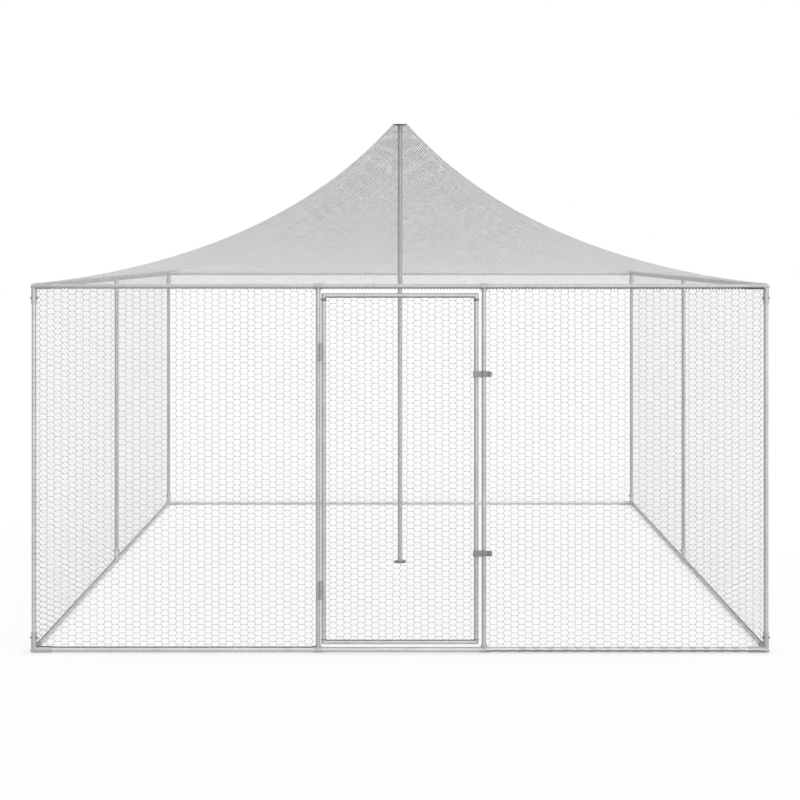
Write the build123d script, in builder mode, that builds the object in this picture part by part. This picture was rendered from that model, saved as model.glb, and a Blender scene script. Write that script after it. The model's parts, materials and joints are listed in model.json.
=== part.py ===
from build123d import *
import math
import os

os.makedirs("parts", exist_ok=True)

# Walk-in aviary: a square frame of round steel tube with wire net walls, a door in the front wall and a
# peaked net roof held up by a centre pole. X runs to the right, Y to the back and Z up. The origin is on
# the ground under the pole.

# Overall sizes
frame_width = 4000.0          # over the rail sleeves, the same both ways
wall_height = 2000.0          # ground to the top of the upper rail sleeves
pole_height = 3062.0          # ground to the top face of the head plate
roof_sag = 221.0              # how far the roof net hangs below a straight line from head to eave

# Tubes and their sleeves
tube_d = 25.0
tube_wall = 1.2
socket_fit = 0.25             # radial play of a tube in its sleeve
rail_sleeve_wall = 2.75
post_sleeve_wall = 2.25
corner_arm = 95.0             # sleeve length from the corner's centre
tee_arm = 47.5                # half the length of a middle post's tee along its rail
tee_post_arm = 82.0           # height of that tee's post sleeve above the rail's axis
door_tee_arm = 25.0           # half the length of a door post's tee along its rail
door_tee_post_arm = 27.0
core_wall = 3.5               # from a tube's edge on to the floor of the socket square to it
tube_end_gap = 0.3            # a tube's end to the floor of its socket

# Bolts through the post sleeves, along X: what shows is a head on one side and a nut on the other
bolt_inset = 31.0             # from the mouth of a corner's post sleeve
head_across_flats = 10.0
head_height = 4.0
nut_height = 5.0
seat_gap = 0.2                # between a seated piece and the round face that it sits on

# Wire netting
net_gap = 0.3                 # net edge to the tube or sleeve that holds it
notch_clear = 2.0             # room round a bolt that stands in a net's edge
net_thickness = 2.0
net_strand = 8.0
mesh_column = 390.0           # from one column of gaps to the next, ten times the real mesh
mesh_row = 320.0              # from one row of gaps to the next, ten times the real mesh
mesh_flat_share = 0.62        # share of a column that is the flat edge of a gap

# Door
door_width = 852.0
door_sill_gap = 16.5
door_head_gap = 25.0
hinge_gap = 5.5               # hinge post to hinge stile
latch_gap = 16.5              # latch stile to latch post

# Weld-on barrel hinges
hinge_heights = (338.0, 1628.0)
barrel_d = 20.0
barrel_length = 48.0
barrel_gap = 0.3              # between the lower and the upper barrel
barrel_clear = 0.3            # barrel to the tubes beside it
barrel_tab = 8.0              # width of the weld between a barrel and its tube
barrel_cap = 4.0
hinge_pin_d = 10.0
pin_press = 0.03              # radial, pin in the barrel that holds it
pin_play = 0.1                # radial, pin in the barrel that turns
pin_end_gap = 1.0
weld_fit = 0.05

# Hasps
hasp_heights = (539.0, 1509.0)
hasp_seam = 4.0               # hasp pin axis past the latch post's near edge
hasp_plate_length = 52.0
plate_thickness = 2.5
plate_step = 2.0              # plate above and below the leaf
knuckle_d = 8.0
knuckle_set = 0.2             # a knuckle stands this far behind its plate
knuckle_gap = 0.3
knuckle_middle = 13.0         # height of the leaf's knuckle
tongue_gap = 0.5
hasp_pin_d = 4.0
leaf_gap = 0.6                # leaf to the staple's base
leaf_corner_r = 10.0
leaf_rim = 3.0                # leaf above and below its slot
leaf_tip = 10.0               # leaf past its slot
slot_play = 2.0               # slot to the staple, over the leaf's whole swing
saddle_width = 14.0
staple_from_axis = 35.0
staple_bar_width = 5.0
staple_bar_thickness = 4.0
staple_eye_r = 6.0
staple_leg = 9.0
staple_base_margin = 6.5      # base plate past the staple

# Centre pole
pole_d = 32.0
pole_wall = 1.5
pole_joint = 1535.0           # height of the joint between its two lengths
spigot_length = 120.0
spigot_fit = 0.1
plate_spigot_length = 60.0
pole_plate_thickness = 4.0
foot_plate_d = 85.0
head_plate_d = 92.0

# Roof net
roof_thickness = 2.5
roof_gap = 0.3                # net to what it lies on
roof_head_margin = 2.0        # flat top past the head plate's edge
roof_skirt = 15.0             # hem below the rail's axis
roof_strand = 12.0
roof_hip_border = 10.0        # hip to the middle of the strand beside it
roof_head_border = 20.0
roof_eave_border = 40.0
roof_gap_rows = 6

# Values worked out from the sizes above
tube_r = tube_d / 2
rail_sleeve_r = tube_r + socket_fit + rail_sleeve_wall
post_sleeve_r = tube_r + socket_fit + post_sleeve_wall
half = frame_width / 2 - rail_sleeve_r
base_z = rail_sleeve_r
top_z = wall_height - rail_sleeve_r
socket_stop = tube_r + core_wall
tube_stop = socket_stop + tube_end_gap
hinge_post_x = -door_width / 2 - hinge_gap - tube_r
latch_post_x = door_width / 2 + latch_gap + tube_r
hinge_stile_x = -door_width / 2 + tube_r
latch_stile_x = door_width / 2 - tube_r
door_bottom_z = base_z + tube_r + door_sill_gap
door_top_z = top_z - tube_r - door_head_gap


def save(piece, name):
    piece.part.label = name
    export_step(piece.part, f"parts/{name}.step")


# Straight tube between two points
def tube(name, start, end):
    axis = Vector(*end) - Vector(*start)
    with BuildPart() as piece:
        with BuildSketch(Plane(origin=start, z_dir=axis)):
            Circle(tube_r)
            Circle(tube_r - tube_wall, mode=Mode.SUBTRACT)
        extrude(amount=axis.length)
    save(piece, name)


# Posts
bolted_posts = {
    "corner_post_front_left": (-half, -half),
    "corner_post_front_right": (half, -half),
    "corner_post_back_left": (-half, half),
    "corner_post_back_right": (half, half),
    "middle_post_left": (-half, 0.0),
    "middle_post_right": (half, 0.0),
    "middle_post_back": (0.0, half),
}
door_posts = {
    "door_post_hinge": (hinge_post_x, -half),
    "door_post_latch": (latch_post_x, -half),
}
for name, (x, y) in {**bolted_posts, **door_posts}.items():
    tube(name, (x, y, base_z + tube_stop), (x, y, top_z - tube_stop))

# Rails: a rail along a wall runs from one connector's socket to the next
front_rails = {
    "front_left": (-half + tube_stop, hinge_post_x - tube_end_gap),
    "front_middle": (hinge_post_x + tube_end_gap, latch_post_x - tube_end_gap),
    "front_right": (latch_post_x + tube_end_gap, half - tube_stop),
}
half_rails = (-half + tube_stop, -tube_stop), (tube_stop, half - tube_stop)
for level, z in (("base", base_z), ("top", top_z)):
    for place, (x0, x1) in front_rails.items():
        tube(f"{level}_rail_{place}", (x0, -half, z), (x1, -half, z))
    for place, (x0, x1) in zip(("back_left", "back_right"), half_rails):
        tube(f"{level}_rail_{place}", (x0, half, z), (x1, half, z))
    for side, x in (("left", -half), ("right", half)):
        for place, (y0, y1) in zip(("front", "back"), half_rails):
            tube(f"{level}_rail_{side}_{place}", (x, y0, z), (x, y1, z))


# Sleeve of a connector, from its centre outwards and as far behind it as given
def sleeve(centre, direction, radius, length, behind=0.0):
    direction = Vector(*direction)
    with BuildSketch(Plane(origin=Vector(*centre) - direction * behind, z_dir=direction)) as section:
        Circle(radius)
    extrude(section.sketch, amount=length + behind)


# Socket bored into a sleeve, from its floor to the open end
def socket(centre, direction, floor, length):
    direction = Vector(*direction)
    with BuildSketch(Plane(origin=Vector(*centre) + direction * floor, z_dir=direction)) as bore:
        Circle(tube_r + socket_fit)
    extrude(bore.sketch, amount=length - floor, mode=Mode.SUBTRACT)


levels = ((base_z, 1), (top_z, -1))

# Corner connector: two rail sleeves mitred into an elbow, with a post sleeve set on it
with BuildPart() as corner_connectors:
    for z, up in levels:
        for side in (-1, 1):
            for depth in (-1, 1):
                centre = (side * half, depth * half, z)
                along_x = (-side, 0, 0)
                along_y = (0, -depth, 0)
                along_post = (0, 0, up)
                x_end = (side * (half - corner_arm), depth * half, z)
                y_end = (side * half, depth * (half - corner_arm), z)
                with BuildLine() as elbow:
                    Polyline(x_end, centre, y_end)
                with BuildSketch(Plane(origin=x_end, z_dir=(side, 0, 0))):
                    Circle(rail_sleeve_r)
                sweep(path=elbow.line, transition=Transition.RIGHT)
                sleeve(centre, along_post, post_sleeve_r, corner_arm)
                for direction in (along_x, along_y, along_post):
                    socket(centre, direction, socket_stop, corner_arm)
save(corner_connectors, "corner_connectors")

with BuildPart() as middle_post_tees:
    for z, up in levels:
        for x, y, along in ((-half, 0, (0, 1, 0)), (half, 0, (0, 1, 0)), (0, half, (1, 0, 0))):
            centre = (x, y, z)
            against = tuple(-part for part in along)
            sleeve(centre, along, rail_sleeve_r, tee_arm, tee_arm)
            sleeve(centre, (0, 0, up), post_sleeve_r, tee_post_arm)
            socket(centre, along, socket_stop, tee_arm)
            socket(centre, against, socket_stop, tee_arm)
            socket(centre, (0, 0, up), socket_stop, tee_post_arm)
save(middle_post_tees, "middle_post_tees")

with BuildPart() as door_post_tees:
    for z, up in levels:
        for x in (hinge_post_x, latch_post_x):
            centre = (x, -half, z)
            sleeve(centre, (1, 0, 0), rail_sleeve_r, door_tee_arm, door_tee_arm)
            sleeve(centre, (0, 0, up), post_sleeve_r, door_tee_post_arm)
            socket(centre, (1, 0, 0), -door_tee_arm, door_tee_arm)
            socket(centre, (0, 0, up), socket_stop, door_tee_post_arm)
save(door_post_tees, "door_post_tees")

bolt_offset = corner_arm - bolt_inset
bolt_seat = post_sleeve_r + seat_gap

with BuildPart() as connector_bolts:
    for x, y in bolted_posts.values():
        outward = 1 if x > 0 else -1
        for height in (base_z + bolt_offset, top_z - bolt_offset):
            for way, length in ((outward, head_height), (-outward, nut_height)):
                with BuildSketch(Plane(origin=(x + way * bolt_seat, y, height), z_dir=(way, 0, 0))):
                    RegularPolygon(head_across_flats / 2, 6, major_radius=False)
                extrude(amount=length)
save(connector_bolts, "connector_bolts")


# Corner points of one six-sided gap, a strand narrower than its cell: flat above and below, pointed at
# the sides
def gap_points():
    cell_h = mesh_row / 2
    flat = mesh_column * mesh_flat_share / 2
    slant = mesh_column * (1 - mesh_flat_share)
    gap_h = cell_h - net_strand / 2
    tip = flat + slant - net_strand / 2 * math.hypot(slant, cell_h) / cell_h
    shoulder = tip - slant * gap_h / cell_h
    return [(tip, 0), (shoulder, gap_h), (-shoulder, gap_h), (-tip, 0), (-shoulder, -gap_h), (shoulder, -gap_h)]


# Centres of the gaps over a panel, every second column half a row higher
def gap_centres(width, height):
    columns = math.floor(width / mesh_column / 2 + 0.5)
    rows = math.floor(height / mesh_row / 2 + 0.5)
    return [
        (column * mesh_column, (row + 0.5 * (column % 2)) * mesh_row)
        for column in range(-columns, columns + 1)
        for row in range(-rows - column % 2, rows + 1)
    ]


post_edge = post_sleeve_r + net_gap
rail_edge = rail_sleeve_r + net_gap
tube_edge = tube_r + net_gap
bolt_edge = bolt_seat + nut_height + notch_clear
net_border = bolt_edge - tube_edge + net_strand / 2


# What the connectors on one post cut from the nets beside it: centre and half sizes of each notch
def notches(x, rail_arm, post_arm, bolted=False):
    cut = []
    for z, up in levels:
        cut.append((x, z, rail_arm + net_gap, rail_edge))
        cut.append((x, z, post_edge, post_arm + net_gap))
        if bolted:
            cut.append((x, z + up * bolt_offset, bolt_edge, head_across_flats / 2 + notch_clear))
    return cut


# Flat netting panel in a wall's plane, between the edges of the tubes round it
def netting(name, plane, start, end, bottom, top, cut=()):
    width = end - start
    height = top - bottom
    middle = ((start + end) / 2, (bottom + top) / 2)
    with BuildSketch(Plane.XY) as gaps:
        with Locations(*gap_centres(width, height)):
            Polygon(*gap_points(), align=None)
        Rectangle(width - 2 * net_border, height - 2 * net_border, mode=Mode.INTERSECT)
    with BuildPart() as panel:
        with BuildSketch(plane):
            with Locations(middle):
                Rectangle(width, height)
                add(gaps.sketch, mode=Mode.SUBTRACT)
            for x, z, reach_x, reach_z in cut:
                with Locations((x, z)):
                    Rectangle(2 * reach_x, 2 * reach_z, mode=Mode.SUBTRACT)
        extrude(amount=net_thickness / 2, both=True)
    save(panel, name)


front_plane = Plane(origin=(0, -half, 0), x_dir=(1, 0, 0), z_dir=(0, -1, 0))
back_plane = Plane(origin=(0, half, 0), x_dir=(1, 0, 0), z_dir=(0, -1, 0))
left_plane = Plane(origin=(-half, 0, 0), x_dir=(0, 1, 0), z_dir=(1, 0, 0))
right_plane = Plane(origin=(half, 0, 0), x_dir=(0, 1, 0), z_dir=(1, 0, 0))

wall_low = base_z + tube_edge
wall_high = top_z - tube_edge
near, far = -half + tube_edge, half - tube_edge
near_corner = notches(-half, corner_arm, corner_arm)
far_corner = notches(half, corner_arm, corner_arm)
near_bolted = notches(-half, corner_arm, corner_arm, True)
far_bolted = notches(half, corner_arm, corner_arm, True)
middle_tee = notches(0, tee_arm, tee_post_arm)
middle_bolted = notches(0, tee_arm, tee_post_arm, True)
hinge_tee = notches(hinge_post_x, door_tee_arm, door_tee_post_arm)
latch_tee = notches(latch_post_x, door_tee_arm, door_tee_post_arm)

netting(
    "net_front_left", front_plane, near, hinge_post_x - tube_edge, wall_low, wall_high, near_bolted + hinge_tee
)
netting(
    "net_front_right", front_plane, latch_post_x + tube_edge, far, wall_low, wall_high, far_bolted + latch_tee
)
netting("net_back_left", back_plane, near, -tube_edge, wall_low, wall_high, near_bolted + middle_bolted)
netting("net_back_right", back_plane, tube_edge, far, wall_low, wall_high, far_bolted + middle_bolted)
for side, plane in (("left", left_plane), ("right", right_plane)):
    netting(f"net_{side}_front", plane, near, -tube_edge, wall_low, wall_high, near_corner + middle_tee)
    netting(f"net_{side}_back", plane, tube_edge, far, wall_low, wall_high, far_corner + middle_tee)


# Door tube with both ends mitred at 45 degrees, its axis between two corners of the door's frame
def mitred_tube(name, start, end, inward):
    axis = (Vector(*end) - Vector(*start)).normalized()
    run = (Vector(*end) - Vector(*start)).length
    with BuildPart() as piece:
        with BuildSketch(Plane(origin=Vector(*start) - axis * tube_r, z_dir=axis)):
            Circle(tube_r)
            Circle(tube_r - tube_wall, mode=Mode.SUBTRACT)
        extrude(amount=run + tube_d)
        split(bisect_by=Plane(origin=start, z_dir=axis - Vector(*inward)), keep=Keep.TOP)
        split(bisect_by=Plane(origin=end, z_dir=-axis - Vector(*inward)), keep=Keep.TOP)
    save(piece, name)


stile_low = door_bottom_z + tube_r
stile_high = door_top_z - tube_r
low_hinge = (hinge_stile_x, -half, stile_low)
high_hinge = (hinge_stile_x, -half, stile_high)
low_latch = (latch_stile_x, -half, stile_low)
high_latch = (latch_stile_x, -half, stile_high)
mitred_tube("door_hinge_stile", low_hinge, high_hinge, (1, 0, 0))
mitred_tube("door_latch_stile", low_latch, high_latch, (-1, 0, 0))
mitred_tube("door_bottom_rail", low_hinge, low_latch, (0, 0, 1))
mitred_tube("door_top_rail", high_hinge, high_latch, (0, 0, -1))

netting(
    "door_net",
    front_plane,
    hinge_stile_x + tube_edge,
    latch_stile_x - tube_edge,
    stile_low + tube_edge,
    stile_high - tube_edge,
)

# Hinge axis: midway between post and stile, as far in front as lets the barrel clear both tubes
barrel_r = barrel_d / 2
hinge_reach = tube_r + barrel_r + barrel_clear
hinge_side = tube_r + hinge_gap / 2
hinge_x = (hinge_post_x + hinge_stile_x) / 2
hinge_y = -half - math.sqrt(hinge_reach**2 - hinge_side**2)
hinge_pin_r = hinge_pin_d / 2


# Barrel with a welded tab that hugs its own tube
def barrel(z, length, tube_x, bore_r):
    to_tube = Vector(tube_x - hinge_x, -half - hinge_y)
    turn = math.degrees(math.atan2(to_tube.Y, to_tube.X))
    with BuildSketch(Plane.XY.offset(z)) as section:
        with Locations((hinge_x, hinge_y)):
            Circle(barrel_r)
        with Locations(Location((hinge_x, hinge_y, 0), (0, 0, turn))):
            Rectangle(hinge_reach, barrel_tab, align=(Align.MIN, Align.CENTER))
        with Locations((tube_x, -half)):
            Circle(tube_r + weld_fit, mode=Mode.SUBTRACT)
        with Locations((hinge_x, hinge_y)):
            Circle(bore_r, mode=Mode.SUBTRACT)
    extrude(section.sketch, amount=length)


with BuildPart() as hinge_lower_barrels:
    for height in hinge_heights:
        barrel(height - barrel_length, barrel_length, hinge_post_x, hinge_pin_r + pin_press)
save(hinge_lower_barrels, "hinge_lower_barrels")

with BuildPart() as hinge_upper_barrels:
    for height in hinge_heights:
        barrel(height + barrel_gap, barrel_length - barrel_gap, hinge_stile_x, hinge_pin_r + pin_play)
        with BuildSketch(Plane.XY.offset(height + barrel_length - barrel_cap)):
            with Locations((hinge_x, hinge_y)):
                Circle(barrel_r)
        extrude(amount=barrel_cap)
save(hinge_upper_barrels, "hinge_upper_barrels")

with BuildPart() as hinge_pins:
    for height in hinge_heights:
        with BuildSketch(Plane.XY.offset(height - barrel_length)):
            with Locations((hinge_x, hinge_y)):
                Circle(hinge_pin_r)
        extrude(amount=2 * barrel_length - barrel_cap - pin_end_gap)
save(hinge_pins, "hinge_pins")

# Hasps: the staple's base lies on the latch post, the leaf in front of it, and the leaf's pin in front of
# both plates so that the leaf can fold back over the door's plate
knuckle_r = knuckle_d / 2
hasp_pin_r = hasp_pin_d / 2
tube_front_y = -half - tube_r
base_back_y = tube_front_y - seat_gap
base_front_y = base_back_y - plate_thickness
leaf_back_y = base_front_y - leaf_gap
hasp_x = latch_post_x - tube_r + hasp_seam
hasp_y = leaf_back_y + knuckle_set - knuckle_r
staple_r = staple_eye_r + staple_bar_thickness
staple_tip_y = base_front_y - staple_leg - staple_r
slot_inner = staple_from_axis - staple_bar_width / 2 - slot_play
slot_outer = math.hypot(staple_from_axis + staple_bar_width / 2, hasp_y - staple_tip_y) + slot_play
slot_height = 2 * (staple_r + slot_play)
leaf_height = slot_height + 2 * leaf_rim
hasp_height = leaf_height + 2 * plate_step
hasp_leaf_length = slot_outer + leaf_tip
tongue_reach = knuckle_r + tongue_gap
knuckle_end = (hasp_height - knuckle_middle) / 2 - knuckle_gap


# Upright plate from x0 to x1 with a saddle that sits on the round tube behind it
def saddle_plate(z, height, x0, x1, back_y, tube_x):
    with BuildSketch(Plane.XY.offset(z)) as section:
        with Locations((x0, back_y)):
            Rectangle(x1 - x0, plate_thickness, align=(Align.MIN, Align.MAX))
        with Locations((tube_x, back_y)):
            Rectangle(saddle_width, -half - back_y, align=(Align.CENTER, Align.MIN))
        with Locations((tube_x, -half)):
            Circle(tube_r + weld_fit, mode=Mode.SUBTRACT)
    extrude(section.sketch, amount=height)


# Knuckle rolled from a plate, with a tongue from the pin's axis to the plate on the given side
def knuckle(z, length, side, bore_r):
    tongue = tongue_reach + tongue_gap
    with BuildSketch(Plane.XY.offset(z)) as section:
        with Locations((hasp_x + side * tongue / 2, leaf_back_y)):
            Rectangle(tongue, plate_thickness, align=(Align.CENTER, Align.MAX))
        with Locations((hasp_x, hasp_y)):
            Circle(knuckle_r)
            Circle(bore_r, mode=Mode.SUBTRACT)
    extrude(section.sketch, amount=length)


with BuildPart() as hasp_plates:
    for height in hasp_heights:
        bottom = height - hasp_height / 2
        plate_end = hasp_x - tongue_reach
        saddle_plate(
            bottom, hasp_height, hasp_x - hasp_plate_length, plate_end, leaf_back_y, latch_stile_x
        )
        knuckle(bottom, knuckle_end, -1, hasp_pin_r + pin_press)
        knuckle(height + hasp_height / 2 - knuckle_end, knuckle_end, -1, hasp_pin_r + pin_press)
save(hasp_plates, "hasp_plates")

with BuildPart() as hasp_pins:
    for height in hasp_heights:
        with BuildSketch(Plane.XY.offset(height - hasp_height / 2)):
            with Locations((hasp_x, hasp_y)):
                Circle(hasp_pin_r)
        extrude(amount=hasp_height)
save(hasp_pins, "hasp_pins")

for name, height in zip(("lower_hasp_leaf", "upper_hasp_leaf"), hasp_heights):
    leaf_plane = Plane(origin=(hasp_x, leaf_back_y, height), x_dir=(1, 0, 0), z_dir=(0, -1, 0))
    with BuildPart() as leaf:
        with BuildSketch(leaf_plane) as outline:
            with Locations(((tongue_reach + hasp_leaf_length) / 2, 0)):
                Rectangle(hasp_leaf_length - tongue_reach, leaf_height)
            fillet(outline.vertices().group_by(Axis.X)[-1], leaf_corner_r)
            with Locations(((slot_inner + slot_outer) / 2, 0)):
                Rectangle(slot_outer - slot_inner, slot_height, mode=Mode.SUBTRACT)
        extrude(amount=plate_thickness)
        knuckle(height - knuckle_middle / 2, knuckle_middle, 1, hasp_pin_r + pin_play)
    save(leaf, name)

with BuildPart() as hasp_staples:
    staple_x = hasp_x + staple_from_axis
    for height in hasp_heights:
        bottom = height - leaf_height / 2
        base_end = staple_x + staple_bar_width / 2 + staple_base_margin
        saddle_plate(bottom, leaf_height, latch_post_x - tube_r, base_end, base_back_y, latch_post_x)
        loop_plane = Plane(origin=(staple_x, base_front_y, height), x_dir=(0, -1, 0), z_dir=(-1, 0, 0))
        with BuildSketch(loop_plane):
            for radius, mode in ((staple_r, Mode.ADD), (staple_eye_r, Mode.SUBTRACT)):
                with Locations((0, 0)):
                    Rectangle(staple_leg, 2 * radius, align=(Align.MIN, Align.CENTER), mode=mode)
                with Locations((staple_leg, 0)):
                    Circle(radius, mode=mode)
        extrude(amount=staple_bar_width / 2, both=True)
save(hasp_staples, "hasp_staples")

# Centre pole in two lengths: the upper one is drawn down to a spigot that sits inside the lower one
pole_r = pole_d / 2
pole_bore_r = pole_r - pole_wall
spigot_r = pole_bore_r - spigot_fit
pole_top_z = pole_height - pole_plate_thickness

with BuildPart() as pole_lower:
    with BuildSketch(Plane.XY.offset(pole_plate_thickness)):
        Circle(pole_r)
        Circle(pole_bore_r, mode=Mode.SUBTRACT)
    extrude(amount=pole_joint - pole_plate_thickness)
save(pole_lower, "pole_lower")

with BuildPart() as pole_upper:
    with BuildSketch(Plane.XY.offset(pole_joint)):
        Circle(pole_r)
    extrude(amount=pole_top_z - pole_joint)
    with BuildSketch(Plane.XY.offset(pole_joint)):
        Circle(spigot_r)
    extrude(amount=-spigot_length)
    with BuildSketch(Plane.XY.offset(pole_joint - spigot_length)):
        Circle(spigot_r - pole_wall)
    extrude(amount=spigot_length + pole_wall, mode=Mode.SUBTRACT)
    with BuildSketch(Plane.XY.offset(pole_joint + pole_wall)):
        Circle(pole_bore_r)
    extrude(amount=pole_top_z - pole_joint - pole_wall, mode=Mode.SUBTRACT)
save(pole_upper, "pole_upper")

with BuildPart() as pole_foot_plate:
    with BuildSketch(Plane.XY):
        Circle(foot_plate_d / 2)
    extrude(amount=pole_plate_thickness)
    with BuildSketch(Plane.XY.offset(pole_plate_thickness)):
        Circle(spigot_r)
    extrude(amount=plate_spigot_length)
save(pole_foot_plate, "pole_foot_plate")

with BuildPart() as pole_head_plate:
    with BuildSketch(Plane.XY.offset(pole_top_z)):
        Circle(head_plate_d / 2)
    extrude(amount=pole_plate_thickness)
    with BuildSketch(Plane.XY.offset(pole_top_z)):
        Circle(spigot_r)
    extrude(amount=-plate_spigot_length)
save(pole_head_plate, "pole_head_plate")

# Roof net in four gores. Each is one slack curve from the head plate to the eave, laid over the top rail
# and down outside it, carried along the rail and cut where it meets its neighbours on the hips
hem_r = max(rail_sleeve_r, post_sleeve_r) + roof_gap
head_half = head_plate_d / 2 + roof_head_margin
head_z = pole_height + roof_gap
roof_reach = half + hem_r + roof_thickness

# The slope's curve runs into the hem's curve round the rail without a kink, so its centre is one slope
# radius from the head's edge, and a slope and a hem radius from the rail's axis
head_edge = Vector(head_half, head_z)
rail_axis = Vector(half, top_z)
to_rail = rail_axis - head_edge
chord_half = (to_rail + Vector(0, hem_r)).length / 2
slope_r = (chord_half**2 + roof_sag**2) / (2 * roof_sag)
along = (slope_r**2 - (slope_r + hem_r) ** 2 + to_rail.length**2) / (2 * to_rail.length)
rise = math.sqrt(slope_r**2 - along**2)
down_slope = to_rail.normalized()
slope_centre = head_edge + down_slope * along + down_slope.rotate(Axis.Z, 90) * rise
hem_start = rail_axis + (slope_centre - rail_axis).normalized() * hem_r
hem_end = rail_axis + Vector(hem_r, 0)
slope_middle = slope_centre + (head_edge + hem_start - slope_centre * 2).normalized() * slope_r
hem_middle = rail_axis + (hem_start + hem_end - rail_axis * 2).normalized() * hem_r

# Gaps of a gore in plan: a lattice along the two hips, one more gap in each row down the slope, and a last
# row of half gaps along the eave
head_line = head_half + roof_head_border
eave_line = half - roof_eave_border
lattice_tip = roof_hip_border * math.sqrt(2)
lattice = (eave_line - lattice_tip) / (roof_gap_rows + 1)
gap_half = lattice - roof_strand / math.sqrt(2)
roof_gaps = [
    (lattice_tip + (row + 1) * lattice, (2 * place - row) * lattice)
    for row in range(roof_gap_rows + 1)
    for place in range(row + 1)
]

for name, angle in (("front", -90), ("right", 0), ("back", 90), ("left", 180)):
    outward = Vector(1, 0, 0).rotate(Axis.Z, angle)
    across = Vector(0, 1, 0).rotate(Axis.Z, angle)
    with BuildPart() as gore:
        with BuildSketch(Plane(origin=(0, 0, 0), x_dir=outward, z_dir=-across)):
            with BuildLine():
                Line((0, head_z), head_edge)
                ThreePointArc(head_edge, slope_middle, hem_start)
                ThreePointArc(hem_start, hem_middle, hem_end)
                Line(hem_end, hem_end - Vector(0, roof_skirt))
                offset(amount=roof_thickness, side=Side.LEFT)
            make_face()
        extrude(amount=roof_reach + roof_thickness, both=True)
        split(bisect_by=Plane(origin=(0, 0, 0), z_dir=outward - across), keep=Keep.TOP)
        split(bisect_by=Plane(origin=(0, 0, 0), z_dir=outward + across), keep=Keep.TOP)
        with BuildSketch(Plane(origin=(0, 0, top_z), x_dir=outward, z_dir=(0, 0, 1))):
            with Locations(*roof_gaps):
                Polygon((gap_half, 0), (0, gap_half), (-gap_half, 0), (0, -gap_half), align=None)
            with Locations((head_line, 0)):
                Rectangle(
                    eave_line - head_line, 2 * half, align=(Align.MIN, Align.CENTER), mode=Mode.INTERSECT
                )
        extrude(amount=head_z - top_z, mode=Mode.SUBTRACT)
    save(gore, f"roof_net_{name}")
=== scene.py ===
import bpy
import json
import math
import numpy as np
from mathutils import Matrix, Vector


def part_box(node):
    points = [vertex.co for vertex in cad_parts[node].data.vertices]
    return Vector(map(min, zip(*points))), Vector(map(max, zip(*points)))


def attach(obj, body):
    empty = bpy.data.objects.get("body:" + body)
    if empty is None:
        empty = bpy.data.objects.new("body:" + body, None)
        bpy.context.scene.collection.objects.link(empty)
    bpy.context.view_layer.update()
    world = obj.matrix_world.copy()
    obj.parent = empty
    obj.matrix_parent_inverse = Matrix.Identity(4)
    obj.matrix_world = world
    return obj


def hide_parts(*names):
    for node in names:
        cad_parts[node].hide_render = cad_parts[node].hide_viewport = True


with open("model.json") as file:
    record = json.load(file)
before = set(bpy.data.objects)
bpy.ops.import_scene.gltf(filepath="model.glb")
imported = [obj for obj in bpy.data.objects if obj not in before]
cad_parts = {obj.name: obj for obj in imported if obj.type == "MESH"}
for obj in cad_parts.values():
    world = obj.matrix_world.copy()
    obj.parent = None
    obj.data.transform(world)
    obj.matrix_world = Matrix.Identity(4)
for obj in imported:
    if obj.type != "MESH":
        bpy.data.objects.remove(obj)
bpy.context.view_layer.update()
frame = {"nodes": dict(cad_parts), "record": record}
nodes = frame["nodes"]
print("aviary frame loaded:", len(nodes), "nodes")


# sRGB hex text to linear red, green, blue, alpha
def colour(hexText):
    value = np.array([int(hexText[i:i + 2], 16) for i in (1, 3, 5)]) / 255
    linear = np.where(value <= 0.04045, value / 12.92, ((value + 0.055) / 1.055) ** 2.4)
    return (*linear.tolist(), 1.0)


# Adds one node, with its settings and the outputs that feed its sockets
def addNode(tree, kind, settings=None, links=None):
    made = tree.nodes.new(kind)
    for name, value in (settings or {}).items():
        if isinstance(name, int) or name in made.inputs:
            made.inputs[name].default_value = value
        else:
            setattr(made, name, value)
    for name, source in (links or {}).items():
        tree.links.new(source, made.inputs[name])
    return made


# A material with an empty node tree
def newMaterial(name):
    made = bpy.data.materials.new(name)
    made.use_nodes = True
    made.node_tree.nodes.clear()
    return made, made.node_tree


# Mesh of points and faces, in the row frame, riding on a body
def addPiece(name, points, faces, material, body, slot, replacing=()):
    mesh = bpy.data.meshes.new(name)
    sizes = np.concatenate([np.full(len(f), f.shape[1]) for f in faces])
    corners = np.concatenate([f.ravel() for f in faces])
    mesh.vertices.add(len(points))
    mesh.vertices.foreach_set("co", points.astype(np.float32).ravel())
    mesh.loops.add(len(corners))
    mesh.loops.foreach_set("vertex_index", corners.astype(np.int32))
    mesh.polygons.add(len(sizes))
    mesh.polygons.foreach_set("loop_start", np.concatenate([[0], np.cumsum(sizes)[:-1]]).astype(np.int32))
    mesh.polygons.foreach_set("loop_total", sizes.astype(np.int32))
    mesh.polygons.foreach_set("use_smooth", np.ones(len(sizes), bool))
    mesh.update()
    mesh.validate()
    mesh.materials.append(material)
    piece = bpy.data.objects.new(name, mesh)
    bpy.context.scene.collection.objects.link(piece)
    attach(piece, body)
    if replacing:
        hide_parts(*replacing)


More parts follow.
